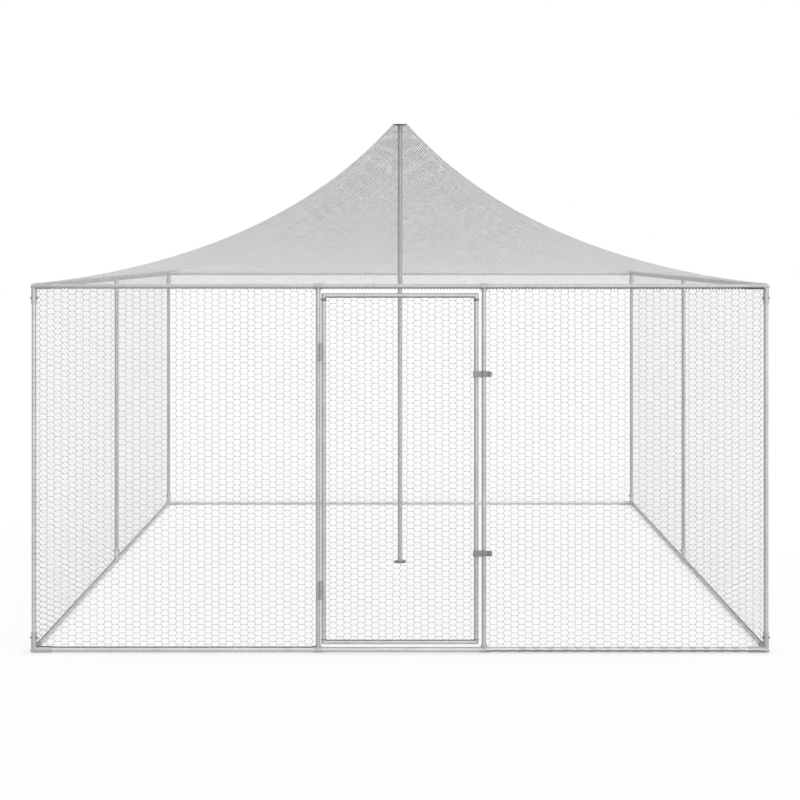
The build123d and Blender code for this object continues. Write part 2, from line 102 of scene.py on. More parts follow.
# Wires: a small section carried along each path. The run is the direction between a point's neighbours, side
# is the run crossed with the normal, and a corner is the point plus the radius times the cosine of its angle
# along side and, flattened, the sine of its angle along lift. Both ends are capped.
def wires(paths, normal, radius, sides=3, flatness=1.0):
    count, length = paths.shape[:2]
    run = np.gradient(paths, axis=1)
    run /= np.linalg.norm(run, axis=2, keepdims=True)
    side = np.cross(run, normal)
    side /= np.linalg.norm(side, axis=2, keepdims=True)
    lift = np.cross(side, run) * flatness
    turn = np.arange(sides) * 2 * np.pi / sides + np.pi / 2
    ring = np.cos(turn)[:, None] * side[:, :, None] + np.sin(turn)[:, None] * lift[:, :, None]
    points = (paths[:, :, None] + radius * ring).reshape(-1, 3)
    first = (np.arange(count)[:, None, None] * length + np.arange(length - 1)[:, None]) * sides
    corner = np.arange(sides)
    after = (corner + 1) % sides
    quads = np.stack([first + corner, first + sides + corner, first + sides + after, first + after], -1)
    start = np.arange(count)[:, None] * length * sides + corner
    end = start[:, ::-1] + (length - 1) * sides
    return points, [quads.reshape(-1, 4), np.concatenate([start, end])]


# Several sets of points and faces as one
def joined(parts):
    points, faces, before = [], {}, 0
    for somePoints, someFaces in parts:
        points.append(somePoints)
        for face in someFaces:
            faces.setdefault(face.shape[1], []).append(face + before)
        before += len(somePoints)
    return np.concatenate(points), [np.concatenate(f) for f in faces.values()]


# Materials

# Metals: crystals of zinc and a slow change of tone along the piece move the colour between two greys, and
# the same pattern moves the roughness and a shallow bump. With a far share, the colour also goes from the
# darker grey at the front of the aviary to the lighter one at its back, as painted shade in front and painted
# light behind.
def metal(spec):
    made, tree = newMaterial(spec["name"])
    place = addNode(tree, "ShaderNodeTexCoord").outputs["Object"]
    crystal = addNode(tree, "ShaderNodeTexVoronoi", {"Scale": 1 / spec["crystal"], "Randomness": 1.0},
                      {"Vector": place})
    tone = addNode(tree, "ShaderNodeTexNoise", {"Scale": 1 / spec["streak"], "Detail": 3.0}, {"Vector": place})
    grey = addNode(tree, "ShaderNodeRGBToBW", None, {"Color": crystal.outputs["Color"]})
    part = addNode(tree, "ShaderNodeMath", {"operation": "MULTIPLY", 1: spec["crystalShare"]},
                   {0: grey.outputs[0]})
    both = addNode(tree, "ShaderNodeMath", {"operation": "MULTIPLY_ADD", 1: 1 - spec["crystalShare"]},
                   {0: tone.outputs["Fac"], 2: part.outputs[0]})
    level = both.outputs[0]
    # painted light and shade: darker towards the front of the aviary, lighter towards its back
    if "paintedLightFarShare" in spec:
        depth = addNode(tree, "ShaderNodeSeparateXYZ", None, {"Vector": place})
        far = addNode(tree, "ShaderNodeMapRange", {"From Min": -1.0, "To Max": spec["paintedLightFarShare"]},
                      {"Value": depth.outputs["Y"]})
        level = addNode(tree, "ShaderNodeMath", {"operation": "MULTIPLY_ADD", 1: 1 - spec["paintedLightFarShare"]},
                        {0: level, 2: far.outputs["Result"]}).outputs[0]
    shade = addNode(tree, "ShaderNodeValToRGB", None, {"Fac": level})
    darkEnd, lightEnd = shade.color_ramp.elements
    darkEnd.color, lightEnd.color = colour(spec["dark"]), colour(spec["light"])
    darkEnd.position, lightEnd.position = 0.3, 0.7      # the pattern seldom goes past these
    rough = addNode(tree, "ShaderNodeMapRange", {"To Min": spec["rough"][0], "To Max": spec["rough"][1]},
                    {"Value": both.outputs[0]})
    bump = addNode(tree, "ShaderNodeBump", {"Strength": 0.15, "Distance": spec["bump"]},
                   {"Height": both.outputs[0]})
    shader = addNode(tree, "ShaderNodeBsdfPrincipled", {"Metallic": spec["metallic"]},
                     {"Base Color": shade.outputs["Color"], "Roughness": rough.outputs["Result"],
                      "Normal": bump.outputs["Normal"]})
    addNode(tree, "ShaderNodeOutputMaterial", None, {"Surface": shader.outputs["BSDF"]})
    return made


# Sizes of the crystals and of the slow tone are in metres, and so is the height of the bump
tubeZinc = {"crystal": 0.012, "crystalShare": 0.35, "streak": 0.25, "metallic": 0.45, "rough": (0.35, 0.5),
            "bump": 0.0002}
plating = {"crystal": 0.004, "crystalShare": 0.5, "metallic": 0.5, "rough": (0.35, 0.5), "bump": 0.0001}
drawnZinc = {"crystal": 0.02, "crystalShare": 0.2, "metallic": 0.2, "bump": 0.0001}

# Hot-dip galvanised tube: dull zinc with broad soft crystals and a slow grey cloud along its length
galvanisedTube = metal({**tubeZinc, "name": "galvanised steel tube", "dark": "#aeaeaf", "light": "#c2c2c3"})
# Side and back rails and the middle tees: the same zinc, its grey painted lighter as painted light on rails the
# lamps leave dark
tubeWithPaintedLight = metal({**tubeZinc, "name": "galvanised steel tube with painted light", "dark": "#c6c6c7", "light": "#dadadb"})
# Door's stiles, its top rail and its posts: the same tube, its grey painted darker as painted shade of the
# narrow gaps beside the door
tubeWithPaintedShade = metal({**tubeZinc, "name": "galvanised steel tube with painted shade", "dark": "#a6a6a7", "light": "#bababb",
                     "streak": 0.15})
# Pressed connectors: the same zinc, rolled thicker and duller, darker at the front and lighter at the back as
# painted shade and painted light
galvanisedConnector = metal({**tubeZinc, "name": "galvanised pressed steel", "dark": "#a8a8a9",
                             "light": "#c8c8c9", "crystal": 0.009, "crystalShare": 0.4, "streak": 0.1,
                             "paintedLightFarShare": 0.5, "bump": 0.0003})
# Pole plates: cut discs, dull, their grey painted darker than the tube as painted shade at the pole's foot and
# head
plateWithPaintedShade = metal({**tubeZinc, "name": "dull galvanised plate", "dark": "#6a6a6b", "light": "#808081",
                   "crystal": 0.01, "crystalShare": 0.4, "streak": 0.06, "rough": (0.45, 0.6), "bump": 0.0003})
# Zinc-plated hasps: darker, fine-grained and half dull
zincIronwork = metal({**plating, "name": "zinc plated ironwork", "dark": "#727273", "light": "#88888a",
                      "streak": 0.05, "rough": (0.4, 0.55)})
# Weld-on hinge barrels: turned steel, plated like the hasps but brighter where they rub
hingeBarrel = metal({**plating, "name": "zinc plated hinge barrel", "dark": "#8e8e8f", "light": "#a4a4a5",
                     "streak": 0.03})
# Zinc-plated bolts: small, dark beside the tube
zincBolt = metal({**plating, "name": "zinc plated bolt", "dark": "#3e3e3f", "light": "#545455",
                  "crystal": 0.003, "streak": 0.02, "metallic": 0.6})
# Netting wire: bright drawn zinc, too thin for its crystals to show, so only the slow tone is seen
nettingWire = metal({**drawnZinc, "name": "galvanised netting wire", "dark": "#707071", "light": "#888889",
                     "streak": 0.3, "rough": (0.4, 0.5)})
# Edge wire: two real strands twisted close, their grey painted darker as painted shade between the strands and
# where they lie on the tube
edgeWire = metal({**drawnZinc, "name": "galvanised edge wire", "dark": "#4a4a4b", "light": "#5e5e5f",
                  "streak": 0.2, "rough": (0.45, 0.55)})
# Lacing wire: soft and new, as light as the tube it is wound on
lacingWire = metal({**drawnZinc, "name": "galvanised lacing wire", "dark": "#a4a4a5", "light": "#bababb",
                    "streak": 0.1, "rough": (0.4, 0.55)})


# Net twine: twisted polyethylene, half dull, drawn with the twist of its yarn coarser than it is, to show
def netTwine(spec):
    made, tree = newMaterial(spec["name"])
    place = addNode(tree, "ShaderNodeTexCoord").outputs["Object"]
    yarn = addNode(tree, "ShaderNodeTexWave", {"Scale": 1 / spec["yarn"] / 2 / math.pi, "Distortion": 1.5},
                   {"Vector": place})
    cloud = addNode(tree, "ShaderNodeTexNoise", {"Scale": 1 / spec["cloud"], "Detail": 2.0}, {"Vector": place})
    both = addNode(tree, "ShaderNodeMath", {"operation": "MULTIPLY_ADD", 1: 0.35},
                   {0: yarn.outputs["Fac"], 2: cloud.outputs["Fac"]})
    shade = addNode(tree, "ShaderNodeValToRGB", None, {"Fac": both.outputs[0]})
    darkEnd, lightEnd = shade.color_ramp.elements
    darkEnd.color, lightEnd.color = colour(spec["dark"]), colour(spec["light"])
    bump = addNode(tree, "ShaderNodeBump", {"Strength": 0.3, "Distance": 0.0003},
                   {"Height": yarn.outputs["Fac"]})
    shader = addNode(tree, "ShaderNodeBsdfPrincipled", {"Roughness": 0.55, "IOR": 1.51},
                     {"Base Color": shade.outputs["Color"], "Normal": bump.outputs["Normal"]})
    addNode(tree, "ShaderNodeOutputMaterial", None, {"Surface": shader.outputs["BSDF"]})
    return made


# Roof net: grey twine, clouded a little by weather
roofTwine = netTwine({"name": "grey polyethylene twine", "dark": "#5a5a5a", "light": "#6c6c6c", "yarn": 0.004,
                      "cloud": 0.5})
# Its hem: the same twine in a darker dye, knotted tight
hemTwine = netTwine({"name": "dark polyethylene twine", "dark": "#2e2e2e", "light": "#3c3c3c", "yarn": 0.002,
                     "cloud": 0.2})

finishes = {
    "galvanised_tube": galvanisedTube,
    "galvanised_connector": galvanisedConnector,
    "zinc_bolts": zincBolt,
    "zinc_ironwork": zincIronwork,
    "pole_plates": plateWithPaintedShade,
    "wire_netting": nettingWire,
    "roof_netting": roofTwine,
}
# Nodes with a finish of their own, by the start of their names
ownFinishes = {
    # painted light: a lighter copy of the tube on the side and back rails and the middle tees
    ("base_rail_left", "base_rail_right", "base_rail_back", "top_rail_back", "top_rail_left", "top_rail_right",
     "middle_post_tees"): tubeWithPaintedLight,
    # painted shade: a darker copy of the tube on the door and its posts
    ("door_post_hinge", "door_post_latch", "door_hinge", "door_latch", "door_top"): tubeWithPaintedShade,
    ("hinge",): hingeBarrel,
}
for part in frame["record"]["subparts"]:
    name = part["node"]
    finish = finishes[part["material_slot"]]
    for starts, ownFinish in ownFinishes.items():
        if name.startswith(starts):
            finish = ownFinish
    nodes[name].data.materials.clear()
    nodes[name].data.materials.append(finish)
print("materials on", len(nodes), "nodes")

# Tubes and sleeves as they are in the frame, for what is wound on them; arms are from the middle of a post
tubes = {"radius": 0.0125, "sleeveRadius": 0.0155, "arms": {"corner": 0.095, "middle": 0.0475, "door": 0.025},
         "cornerFrom": 1.9, "middleTo": 0.1}     # where along a wall a corner post and a middle post stand

# Wire netting

netting = {
    "column": 0.0387,     # from one column of meshes to the next
    "row": 0.0307,        # from one row to the next
    "flatShare": 0.70,    # twisted stretch, as a share of a column
    "wireRadius": 0.00076,
    "flatness": 0.6,      # the wire is rolled a little flat in the net's plane
    "twistWeight": 0.7,   # the twisted pair is drawn tight, so each wire is thinner there
    "slantWeight": 1.2,
    "pairShare": 0.1,     # half the pair's spread where it opens, in wire radii
    "edgeGap": 0.0003,    # CAD panel's edge to the tube
    "gauge": {"front": 1.22, "door": 1.28, "left": 0.96, "right": 0.98, "back": 0.45},  # lighter wire behind
}


# The wall that a net belongs to
def wallOf(node):
    return node.removeprefix("net_").split("_")[0]


# Hexagonal netting as it is woven: each wire runs from side to side, level in every column and half a row up or
# down between columns, so that it lies against the wire above it in one column and the one below in the next.
# There the two go once round each other: half way along the level stretch one is in front and one behind.
def hexPaths(width, height, spec):
    columns = round(width / spec["column"])
    rows = round(height / spec["row"])
    columnPitch, rowPitch = width / columns, height / rows
    column = np.arange(columns + 1)
    wire = np.arange(2 * rows)[:, None]
    swing = np.where((wire + column) % 2 == 0, 1.0, -1.0)
    level = (wire * 0.5 + 0.25 + swing * 0.25) * rowPitch
    twist = spec["wireRadius"]
    flat = columnPitch * spec["flatShare"] / 2
    along = column[:, None] * columnPitch + np.array([-flat, 0, flat])
    up = level[..., None] - swing[..., None] * twist * spec["pairShare"] * np.array([1, 0, 1])
    out = swing[..., None] * twist * np.array([0, 1, 0])
    paths = np.stack([np.broadcast_to(along, up.shape), out, up], -1).reshape(len(wire), -1, 3)
    weight = np.tile([spec["slantWeight"], spec["twistWeight"], spec["slantWeight"]], columns + 1)
    return paths[:, 1:-1], weight[None, 1:-1, None, None], columnPitch, rowPitch


# The sleeve at one end of a panel, as the middle of its post and the reach of its arm along the rail
def sleeveAt(end, middle, node):
    kind = "corner" if abs(end) > tubes["cornerFrom"] else "middle" if abs(end) < tubes["middleTo"] else "door"
    place = end + (tubes["radius"] if end > middle else -tubes["radius"])
    return place, 0.0 if node == "door_net" else tubes["arms"][kind]


# One panel between the edges of its CAD solid. Gives the heights for ties on its posts, the places for ties on
# its rails, its edges, and the sleeves at its ends.
def nettingPanel(node, body):
    low, high = (np.array(corner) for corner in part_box(node))
    along = 0 if high[0] - low[0] > high[1] - low[1] else 1
    middle = (low + high) / 2
    gap = netting["edgeGap"]
    width = high[along] - low[along] + 2 * gap
    height = high[2] - low[2] + 2 * gap
    paths, weight, columnPitch, rowPitch = hexPaths(width, height, netting)
    placed = np.empty_like(paths)
    placed[..., along] = paths[..., 0] + low[along] - gap
    placed[..., 1 - along] = paths[..., 1] + middle[1 - along]
    placed[..., 2] = paths[..., 2] + low[2] - gap
    normal = np.array([along, 1 - along, 0.0])
    radius = netting["wireRadius"] * netting["gauge"][wallOf(node)] * weight
    points, faces = wires(placed, normal, radius, 3, netting["flatness"])
    addPiece(f"{node}_wire", points, faces, nettingWire, body, "wire_netting", [node])
    heights = low[2] - gap + (np.arange(round(height / rowPitch)) + 0.5) * rowPitch
    places = low[along] - gap + np.arange(1, round(width / columnPitch), 2) * columnPitch
    ends = (low[along] - gap, high[along] + gap)
    sleeves = [sleeveAt(end, middle[along], node) for end in ends]
    return {"along": along, "across": middle[1 - along], "heights": heights, "places": places, "ends": ends,
            "levels": (low[2] - gap, high[2] + gap), "sleeves": sleeves}


wallNets = [n for n in nodes if n.startswith("net_")]
panels = {n: nettingPanel(n, "frame") for n in wallNets}
panels["door_net"] = nettingPanel("door_net", "door")
print("wire netting on", len(panels), "panels")

# Edge wires: along the foot of each wall, along both edges of the door's net, and a short one under the right
# end of the front top rail, thicker and dark, put there as painted shade under the corner's sleeve
edges = {
    "radius": {"front": 0.0022, "door": 0.0016, "left": 0.0016, "right": 0.0016, "back": 0.0006},
    "wallLap": -0.0020,
    "doorLap": 0.0030,
    "lacedLap": 0.0150,
    "lacedPitch": 0.078,
    "lacedWave": 0.002,
    "laced": ["net_front_right", "net_back_left", "net_back_right"],
    "pitchPoints": 24,    # on one pitch
    "sleeveRamp": 0.01,   # to come down from a sleeve to the tube
    # painted shade: the short dark wire under the right end of the front top rail
    "corner": {"radius": 0.0030, "lap": 0.0020, "length": 0.125},
}


# Edge wire that lies on a tube: its lap is how far it comes past the tube's edge, and it stands as far in front
# of the wall as lets it lie on the round tube there, towards the door's side. On a sleeve it keeps its place
# round the tube, further out by the sleeve's wall. A laced one goes up and down in a sine.
def edgeWireOn(name, top, lap, wave, spec, corner=None):
    panel = panels[name]
    along, r, radius = panel["along"], tubes["radius"], spec["radius"][wallOf(name)]
    start, end = panel["ends"]
    if corner:
        start, radius = end - corner["length"], corner["radius"]
    run = np.linspace(start, end, round((end - start) / spec["lacedPitch"]) * spec["pitchPoints"] + 1)
    beyond = np.min([np.abs(run - place) - arm for place, arm in panel["sleeves"]], axis=0)
    onSleeve = np.clip(1 - beyond / spec["sleeveRamp"], 0, 1)
    surface = r + (tubes["sleeveRadius"] - r) * onSleeve + radius
    down = (r - lap - wave * np.sin(2 * np.pi * run / spec["lacedPitch"])) * surface / (r + radius)
    front = np.sqrt(np.maximum(surface**2 - down**2, 0))
    path = np.empty((1, len(run), 3))
    path[..., along] = run
    path[..., 1 - along] = panel["across"] + (np.sign(panel["across"]) if along else -1) * front
    path[..., 2] = panel["levels"][top] + (r - down if top else down - r)
    return wires(path, np.array([along, 1 - along, 0.0]), radius, 8)


wallEdges = []
for name in wallNets:
    lap, wave = (edges["lacedLap"], edges["lacedWave"]) if name in edges["laced"] else (edges["wallLap"], 0.0)
    wallEdges.append(edgeWireOn(name, 0, lap, wave, edges))
# painted shade under the right corner's sleeve
wallEdges.append(edgeWireOn("net_front_right", 1, edges["corner"]["lap"], 0.0, edges, edges["corner"]))
addPiece("wall_edge_wires", *joined(wallEdges), edgeWire, "frame", "wire_netting")
doorEdges = [edgeWireOn("door_net", top, edges["doorLap"], 0.0, edges) for top in (0, 1)]
addPiece("door_edge_wires", *joined(doorEdges), edgeWire, "door", "wire_netting")
print("edge wires:", len(wallEdges) + len(doorEdges))

# Ties: the netting's wire ends go round the posts, and a lacing wire goes round the front right base rail
ties = {
    "steps": 12,    # in one turn
    "post": {"wireRadius": 0.0007, "turns": 1.5, "length": 0.004, "sleeveClear": 0.1, "doorClear": 0.03},
    "rail": {"wireRadius": 0.0011, "turns": 5.25, "length": 0.034, "sleeveClear": 0.12},
    "doorTop": {"wireRadius": 0.0012, "turns": 6.5, "length": 0.016, "below": 0.002},
    "doorFoot": {"wireRadius": 0.0012, "turns": 2.5, "length": 0.004},
}


# Coils round tubes: round an axis through each centre, the angle grows with the length along it
def coils(centres, axis, spec):
    axis = np.array(axis, float)
    first = np.array([axis[2], axis[0], axis[1]])
    second = np.cross(axis, first)
    t = np.linspace(0, 1, round(spec["turns"] * ties["steps"]) + 1)[:, None]
    angle = 2 * np.pi * spec["turns"] * t
    radius = tubes["radius"] + spec["wireRadius"]
    path = (t - 0.5) * spec["length"] * axis + radius * (np.cos(angle) * first + np.sin(angle) * second)
    return wires(centres[:, None] + path, axis, spec["wireRadius"])


# Places on a run that keep clear of the sleeves at its ends
def clearOf(places, ends, clear):
    return places[(places > ends[0] + clear) & (places < ends[1] - clear)]


# Ties at some heights round the two upright tubes beside a panel
def postTies(panel, heights, spec):
    made = []
    along = panel["along"]
    for end, outward in zip(panel["ends"], (-1, 1)):
        centres = np.zeros((len(heights), 3))
        centres[:, along] = end + outward * tubes["radius"]
        centres[:, 1 - along] = panel["across"]
        centres[:, 2] = heights
        made.append(coils(centres, (0, 0, 1), spec))
    return made


# Every wire's ends, in the middle of each row
def wireEndTies(panel, clear):
    return postTies(panel, clearOf(panel["heights"], panel["levels"], clear), ties["post"])


# Closer turns where the door's net meets the corners of the door
def doorCornerTies(panel):
    foot, head = panel["levels"]
    upper, lower = ties["doorTop"], ties["doorFoot"]
    return joined(postTies(panel, [head - upper["length"] / 2 - upper["below"]], upper)
                  + postTies(panel, [foot + lower["length"] / 2], lower))


# Lacing round the rail at a panel's foot, in every second column
def railTies(panel):
    along = panel["along"]
    places = clearOf(panel["places"], panel["ends"], ties["rail"]["sleeveClear"])
    centres = np.zeros((len(places), 3))
    centres[:, along] = places
    centres[:, 1 - along] = panel["across"]
    centres[:, 2] = panel["levels"][0] - tubes["radius"]
    return coils(centres, (1 - along, along, 0), ties["rail"])


postClear = ties["post"]["sleeveClear"]
frameTies = joined([part for name in wallNets for part in wireEndTies(panels[name], postClear)])
addPiece("frame_wire_ties", *frameTies, nettingWire, "frame", "wire_netting")
addPiece("base_rail_lacing", *railTies(panels["net_front_right"]), lacingWire, "frame", "wire_netting")
doorTies = joined(wireEndTies(panels["door_net"], ties["post"]["doorClear"]))
addPiece("door_wire_ties", *doorTies, nettingWire, "door", "wire_netting")
addPiece("door_corner_ties", *doorCornerTies(panels["door_net"]), nettingWire, "door", "wire_netting")
print("wire ties:", len(frameTies[0]) + len(doorTies[0]), "points")

# Roof net

topRail = np.mean(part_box("top_rail_back_left"), axis=0)
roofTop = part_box("roof_net_front")[1][2]
roof = {
    "tapeHalf": 0.0009,      # half the width of a flat strand
    "flatness": 0.03,        # its thickness, as a share of its width
    "diamond": 0.0177,       # across a mesh, along the eave
    "headWeight": 1.47,      # strands lie closer near the head, drawn here as wider
    "eaveWeight": 0.82,
    "weightSpread": 0.06,    # from strand to strand
    "fineFrom": 0.20,        # from here on down the hips, strands between the others halve the meshes
    "fineWeight": 0.5,
    "stray": 0.0034,         # how far a strand strays from its line, as the meshes of a hung net are uneven
    "strayLength": (0.4, 0.8),
    "straySpan": (0.09, 0.24),  # shares of the way to the eave where straying starts and where it is full
    "strayFade": 0.1,        # along a strand, from the hip and to the eave
    "seed": 7,
    "slopePoints": 17,       # on a strand
    "hemPoints": 8,
    "sag": 0.221,
    "headHalf": 0.048,       # half the flat top
    "headHeight": roofTop - 0.0012,
    "railAxis": (topRail[1], topRail[2]),
    "hemRadius": 0.0138,     # round the bare rail
    "sleeveRadius": 0.0161,  # over a connector's sleeve
    "sleeveRamp": 0.03,      # to come down from the sleeve to the rail
    "sleeveFade": 0.15,      # and to the slope
    "skirt": 0.0122,         # straight down beside the rail
    "hemMesh": 0.0268,       # height of the meshes on the rail
    "hemWeight": 0.65,
    "knot": (0.0040, 0.0080, 0.6),  # half width, height and flatness of the knots along the lower edge
    "knotTaper": 2.2,        # towards their ends
    # painted shade: the dark hem knots grow towards the right of the front
    "knotGrowthAsPaintedShade": 0.17,      # per metre to the right on the front
    "knotClear": 0.01,       # of the corners
    "seamHalf": 0.0006,      # half the width of the strand that joins two gores along a hip
    "seamPoints": 80,
}


# Profile of a gore from the pole outwards: level over the head plate, then one hanging arc that runs smoothly
# into the arc round the rail, then straight down. Gives each point's distance in plan and then along the hem,
# its reach and height, its outward normal, and the distance where the hem starts.
def roofProfile(spec, slopeCount=200, hemCount=12):
    head = np.array([spec["headHalf"], spec["headHeight"]])
    rail = np.array(spec["railAxis"])
    span = rail - head
    length = np.linalg.norm(span)
    chordHalf = np.linalg.norm(span + [0, spec["hemRadius"]]) / 2
    slopeRadius = (chordHalf**2 + spec["sag"]**2) / (2 * spec["sag"])
    along = (slopeRadius**2 - (slopeRadius + spec["hemRadius"])**2 + length**2) / (2 * length)
    unit = span / length
    centre = head + along * unit + math.sqrt(slopeRadius**2 - along**2) * np.array([-unit[1], unit[0]])
    hemStart = math.atan2(*(centre - rail)[::-1])
    slope = np.linspace(math.atan2(*(head - centre)[::-1]), math.atan2(*(rail - centre)[::-1]), slopeCount)
    slopeLine = centre + slopeRadius * np.stack([np.cos(slope), np.sin(slope)], -1)
    hem = np.linspace(hemStart, 0, hemCount)[1:]
    hemLine = rail + spec["hemRadius"] * np.stack([np.cos(hem), np.sin(hem)], -1)
    down = hemLine[-1] - np.array([0, spec["skirt"]])
    line = np.concatenate([[[0, slopeLine[0, 1]]], slopeLine, hemLine, [down]])
    plan = line[:, 0].copy()
    eave = len(slopeLine)
    plan[eave + 1:] = plan[eave] + np.cumsum(np.linalg.norm(np.diff(line[eave:], axis=0), axis=1))
    tangent = np.gradient(line, axis=0)
    normal = np.stack([-tangent[:, 1], tangent[:, 0]], -1) / np.linalg.norm(tangent, axis=1, keepdims=True)
    return plan, line, normal, plan[eave]


# Starts of the strands along a hip: those that go on round the rail, and those between that end at the eave
def strandStarts(spec):
    plan, line, normal, eave = roofProfile(spec)
    half = spec["diamond"] / 2
    end = eave + (plan[-1] - eave) * spec["diamond"] / spec["hemMesh"]
    whole = np.arange(0.5, 2 * eave / spec["diamond"]) * half + end % half / 2
    between = whole[whole > spec["fineFrom"]] + half / 2
    return whole[whole < eave], between[between < eave - half]


# How far the net stands off for a sleeve: what it is thicker than the rail, as a smooth step of nearness
def sleeveLift(near, spec):
    return (spec["sleeveRadius"] - spec["hemRadius"]) * near**2 * (3 - 2 * near)


# Strands of a gore: in plan each runs at 45 degrees from a hip down to the eave, then goes steeper round the
# rail. Beside a sleeve it stands off along the normal, less up the slope. Between the head and the eave it
# strays sideways by a slow sine with a length and phase of its own.
def goreStrands(spec, start, hemPoints, sleeves, rng):
    plan, line, normal, eave = roofProfile(spec)
    onSlope = start[:, None] + (eave - start[:, None]) * np.linspace(0, 1, spec["slopePoints"])
    onHem = np.broadcast_to(np.linspace(eave, plan[-1], hemPoints + 1)[1:], (len(start), hemPoints))
    run = np.concatenate([onSlope, onHem], 1)
    across = np.minimum(run, eave) + np.maximum(run - eave, 0) * spec["diamond"] / spec["hemMesh"]
    reach, height, outward, upward = (np.interp(run, plan, v) for v in (*line.T, *normal.T))
    spread = 1 + spec["weightSpread"] * rng.uniform(-1, 1, (2 * len(start), 1))
    share = np.clip(run / eave, 0, 1)
    strayStart, strayFull = spec["straySpan"]
    ramps = [(share - strayStart) / (strayFull - strayStart), (run - start[:, None]) / spec["strayFade"],
             (eave - run) / spec["strayFade"]]
    slack = np.prod(np.clip(ramps, 0, 1), axis=0)
    nearEave = np.clip(1 - (eave - run) / spec["sleeveFade"], 0, 1)
    made = []
    for mirror in (1, -1):
        wave = rng.uniform(*spec["strayLength"], (len(start), 1))
        turns = run / wave + rng.uniform(0, 1, (len(start), 1))
        stray = spec["stray"] * slack * np.sin(2 * math.pi * turns)
        aside = np.clip(across - 2 * start[:, None] + stray, -reach, reach) * mirror
        beyond = np.min([np.maximum(low - aside, aside - high) for low, high in sleeves], axis=0)
        near = np.clip(1 - beyond / spec["sleeveRamp"], 0, 1) * nearEave
        off = sleeveLift(near, spec)
        paths = np.stack([aside, reach + off * outward, height + off * upward], -1)
        made.append((paths, np.stack([np.zeros_like(run), outward, upward], -1)))
    weight = spec["headWeight"] + (spec["eaveWeight"] - spec["headWeight"]) * share
    weight = weight * np.where(start[:, None] > spec["fineFrom"], spec["fineWeight"], 1)
    weight = np.where(run > eave, spec["hemWeight"], weight)
    width = (np.tile(weight, (2, 1)) * spread)[..., None, None] * spec["tapeHalf"]
    return [np.concatenate(pair) for pair in zip(*made)], width


# Knots at the strands' lower ends: upright barrels, widest in the middle by a square of the height. Their
# growth towards the right is painted shade that darkens the rail's underside more to the right.
def hemKnots(tips, outward, spec, growth):
    radius, height, flatness = spec["knot"]
    tips = tips[np.sort(np.abs(tips[:, :2]), axis=1)[:, 0] < spec["railAxis"][0] - spec["knotClear"]]
    level = np.linspace(-0.5, 0.5, 5)
    size = 1 + growth * tips[:, None, :1]
    bulge = ((1.0 - spec["knotTaper"] * level**2)[:, None] * radius * size)[..., None]
    return wires(tips[:, None] - size * level[:, None] * np.array([0, 0, height]), outward, bulge, 6, flatness)


# Seams: one strand down each hip, where reach and aside are equal, lifted over the corner's sleeve as the
# strands are
def hipSeams(spec):
    plan, line, normal, eave = roofProfile(spec)
    run = np.linspace(spec["headHalf"], eave, spec["seamPoints"])
    near = np.clip(1 - (eave - run) / spec["sleeveFade"], 0, 1)
    height = np.interp(run, plan, line[:, 1]) + sleeveLift(near, spec)
    hips = [np.stack([run * right, run * back, height], -1) for right in (-1, 1) for back in (-1, 1)]
    return wires(np.stack(hips), np.array([0, 0, 1.0]), spec["seamHalf"], 4, spec["flatness"])


# Spans of the sleeves on a top rail, from the middle of the posts that stand under it
def sleeveSpans(posts, axis, flip):
    places = [np.mean(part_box(post), axis=0)[axis] * flip for post in posts]
    arms = [tubes["arms"][post.split("_")[0]] for post in posts]
    return [(place - arm, place + arm) for place, arm in zip(places, arms)]


# Each gore's turn round the pole in degrees, its rail's axis and which way that counts, and the posts under it
gores = {
    "front": (180, 0, -1, ["corner_post_front_left", "door_post_hinge", "door_post_latch",
                           "corner_post_front_right"]),
    "right": (-90, 1, -1, ["corner_post_front_right", "middle_post_right", "corner_post_back_right"]),
    "back": (0, 0, 1, ["corner_post_back_left", "middle_post_back", "corner_post_back_right"]),
    "left": (90, 1, 1, ["corner_post_front_left", "middle_post_left", "corner_post_back_left"]),
}
knots = []
for name, (angle, axis, flip, posts) in gores.items():
    c, s = math.cos(math.radians(angle)), math.sin(math.radians(angle))
    turn = np.array([[c, s, 0], [-s, c, 0], [0, 0, 1]])
    # painted shade: only the front's knots grow to the right
    growth = roof["knotGrowthAsPaintedShade"] if name == "front" else 0
    rng = np.random.default_rng(roof["seed"])
    net = []
    for start, hemPoints in zip(strandStarts(roof), (roof["hemPoints"], 0)):
        paths, width = goreStrands(roof, start, hemPoints, sleeveSpans(posts, axis, flip), rng)
        strands, outward = (part @ turn for part in paths)
        net.append(wires(strands, outward, width, 4, roof["flatness"]))
        if hemPoints:
            knots.append(hemKnots(strands[:len(start), -1], outward[0, -1], roof, growth))
    addPiece(f"roof_net_{name}_twine", *joined(net), roofTwine, "frame", "roof_netting", [f"roof_net_{name}"])
    print("roof net", name, len(net[0][0]) + len(net[1][0]), "points")
addPiece("roof_hem_knots", *joined(knots), hemTwine, "frame", "roof_netting")
addPiece("roof_hip_seams", *hipSeams(roof), roofTwine, "frame", "roof_netting")
print("roof hem knots and 4 hip seams")

# Floor, light and camera

studio = {
    "floor": "#ffffff",
    "floorHalf": 60.0,
    "floorDrop": 0.0005,            # below the ground level, so that nothing lies in its plane
    "bounce": "#fafafa",            # as the object sees the floor
    "shadowShare": 0.22,            # what the floor sends back of real light, so what a shadow takes away
    # painted shade: the glow is lower in front, near the object, than behind
    "floorGlow": (0.808, 0.832),    # its own white, in front and behind
    "glowFrom": (-2.5, 3.0),        # places of those two along the depth
    # painted contact shade: an occlusion node lowers the floor's glow near the tubes
    "contactShade": (0.09, 0.66),        # where something touches the floor: reach, and what stays of its white
    "worldLight": 0.18,
    "lamps": {                      # place, width in degrees, power
        "key": ((8.0, -5.6, 2.1), 20.0, 0.75),
        "front": ((1.8, -9.0, 1.0), 20.0, 0.95),
        "top": ((0.5, -1.5, 6.0), 80.0, 1.85),
    },
}


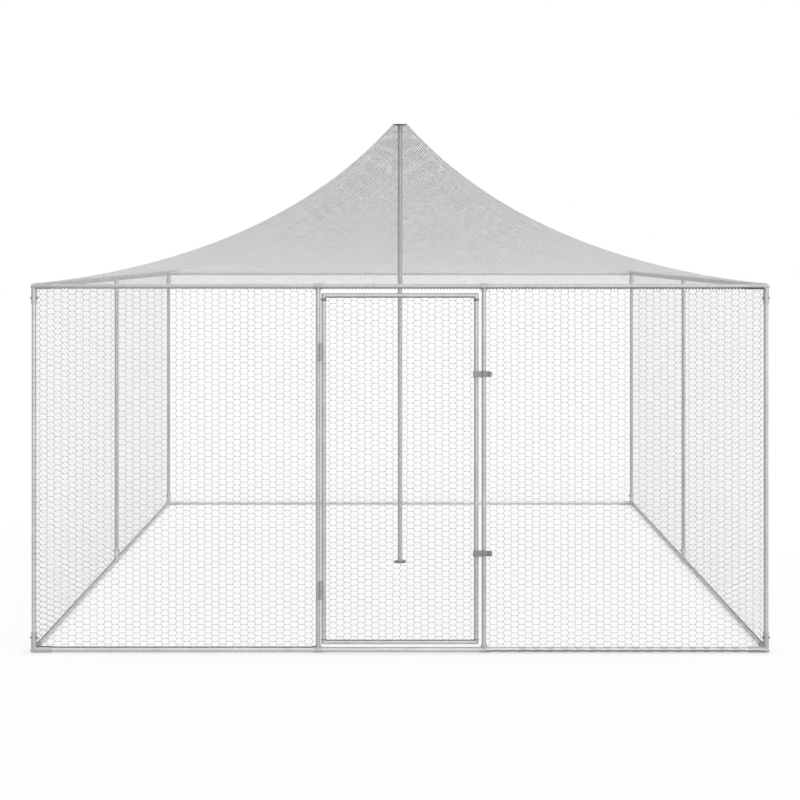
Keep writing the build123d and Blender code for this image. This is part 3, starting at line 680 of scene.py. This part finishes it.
# 1 for what is seen by the camera, in a reflection or through something clear, and 0 for what only gives light
def seenRays(tree):
    rays = addNode(tree, "ShaderNodeLightPath")
    seen = addNode(tree, "ShaderNodeMath", {"operation": "MAXIMUM"},
                   {0: rays.outputs["Is Camera Ray"], 1: rays.outputs["Is Glossy Ray"]})
    return addNode(tree, "ShaderNodeMath", {"operation": "MAXIMUM"},
                   {0: seen.outputs[0], 1: rays.outputs["Is Transmission Ray"]}).outputs[0]


# Floor: white to the camera, less what the object shades; its glow is a little darker in front as painted shade
# near the object, and darker where tubes come near it as painted contact shade
floorMaterial, tree = newMaterial("white studio floor")
close = addNode(tree, "ShaderNodeAmbientOcclusion", {"Distance": studio["contactShade"][0], "samples": 8})
contactShade = addNode(tree, "ShaderNodeMapRange", {"To Min": studio["contactShade"][1]}, {"Value": close.outputs["AO"]})
place = addNode(tree, "ShaderNodeTexCoord").outputs["Object"]
back = addNode(tree, "ShaderNodeSeparateXYZ", None, {"Vector": place}).outputs["Y"]
paintedFrontShade = addNode(tree, "ShaderNodeMapRange",
                {"From Min": studio["glowFrom"][0], "From Max": studio["glowFrom"][1],
                 "To Min": studio["floorGlow"][0], "To Max": studio["floorGlow"][1]}, {"Value": back})
strength = addNode(tree, "ShaderNodeMath", {"operation": "MULTIPLY"},
                   {0: contactShade.outputs["Result"], 1: paintedFrontShade.outputs["Result"]})
glow = addNode(tree, "ShaderNodeEmission", {"Color": colour(studio["floor"])},
               {"Strength": strength.outputs[0]})
shaded = addNode(tree, "ShaderNodeBsdfDiffuse", {"Color": (studio["shadowShare"],) * 3 + (1,)})
white = addNode(tree, "ShaderNodeAddShader", None, {0: glow.outputs[0], 1: shaded.outputs[0]})
plain = addNode(tree, "ShaderNodeBsdfDiffuse", {"Color": colour(studio["bounce"])})
either = addNode(tree, "ShaderNodeMixShader", None,
                 {0: seenRays(tree), 1: plain.outputs[0], 2: white.outputs[0]})
addNode(tree, "ShaderNodeOutputMaterial", None, {"Surface": either.outputs[0]})
floorCorners = np.array([(-1, -1, 0), (1, -1, 0), (1, 1, 0), (-1, 1, 0)]) * studio["floorHalf"]
floorMesh = bpy.data.meshes.new("floor")
floorMesh.from_pydata(floorCorners - [0, 0, studio["floorDrop"]], [], [(0, 1, 2, 3)])
floorMesh.materials.append(floorMaterial)
floor = bpy.data.objects.new("floor", floorMesh)
bpy.context.scene.collection.objects.link(floor)

# World: even light, white where it is seen
world = bpy.data.worlds.new("studio")
bpy.context.scene.world = world
world.use_nodes = True
tree = world.node_tree
tree.nodes.clear()
power = addNode(tree, "ShaderNodeMapRange", {"To Min": studio["worldLight"], "To Max": 1.0},
                {"Value": seenRays(tree)})
background = addNode(tree, "ShaderNodeBackground", {"Color": (1, 1, 1, 1)}, {"Strength": power.outputs[0]})
addNode(tree, "ShaderNodeOutputWorld", None, {"Surface": background.outputs[0]})

# Lamps so far off that they light front and back alike
for name, (lampPlace, width, energy) in studio["lamps"].items():
    lampData = bpy.data.lights.new(name, "SUN")
    lampData.angle = math.radians(width)
    lampData.energy = energy
    lamp = bpy.data.objects.new(name, lampData)
    bpy.context.scene.collection.objects.link(lamp)
    lamp.location = lampPlace
    lamp.rotation_euler = (-Vector(lampPlace)).to_track_quat("-Z", "Y").to_euler()
print("studio with", len(studio["lamps"]), "lamps")

shot = {"place": (0.0, -8.805, 2.175), "lens": 56.61, "sensor": 36.0, "shiftY": -0.1861, "clipEnd": 200.0}
cameraData = bpy.data.cameras.new("camera")
cameraData.lens = shot["lens"]
cameraData.sensor_width = shot["sensor"]
cameraData.shift_y = shot["shiftY"]
cameraData.clip_end = shot["clipEnd"]
camera = bpy.data.objects.new("camera", cameraData)
camera.location = shot["place"]
camera.rotation_euler = (math.pi / 2, 0, 0)
bpy.context.scene.collection.objects.link(camera)
bpy.context.scene.camera = camera
bpy.context.scene.view_settings.view_transform = "Standard"

print("scene ready")
